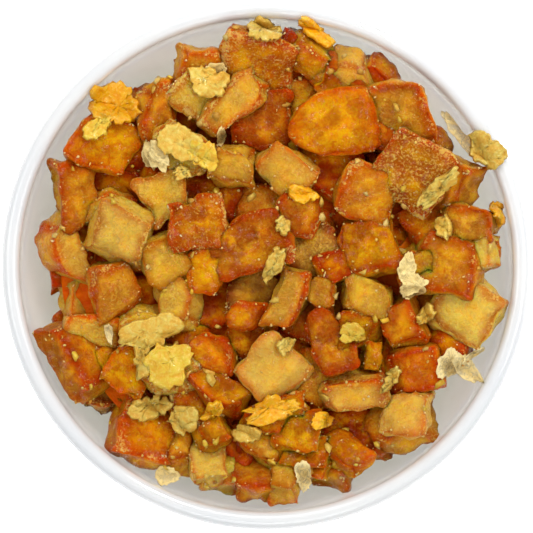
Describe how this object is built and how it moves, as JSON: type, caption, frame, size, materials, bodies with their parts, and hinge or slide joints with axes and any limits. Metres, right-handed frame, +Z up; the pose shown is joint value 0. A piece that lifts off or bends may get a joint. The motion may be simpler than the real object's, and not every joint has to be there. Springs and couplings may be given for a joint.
{
  "type": "bowl of diced candied orange peel",
  "caption": "Small round porcelain bowl on a foot ring, filled with a heap of glazed, diced candied orange peel",
  "frame": {"origin": "Middle of the foot ring's underside, on the surface that the bowl stands on", "axes": "+Z up, along the bowl's axis. +Y is towards the top of the picture and +X towards its right"},
  "size_m": [0.092, 0.092, 0.0469],
  "materials": {
    "porcelain": "white glazed porcelain, glossy all over but the foot ring's underside",
    "candied_peel": "syrup-glazed candied orange peel, translucent and sticky, orange zest on one side and pale yellow pith on the other"
  },
  "bodies": {
    "root": {"bowl": "porcelain", "peel_heap": "candied_peel"}
  },
  "joints": []
}
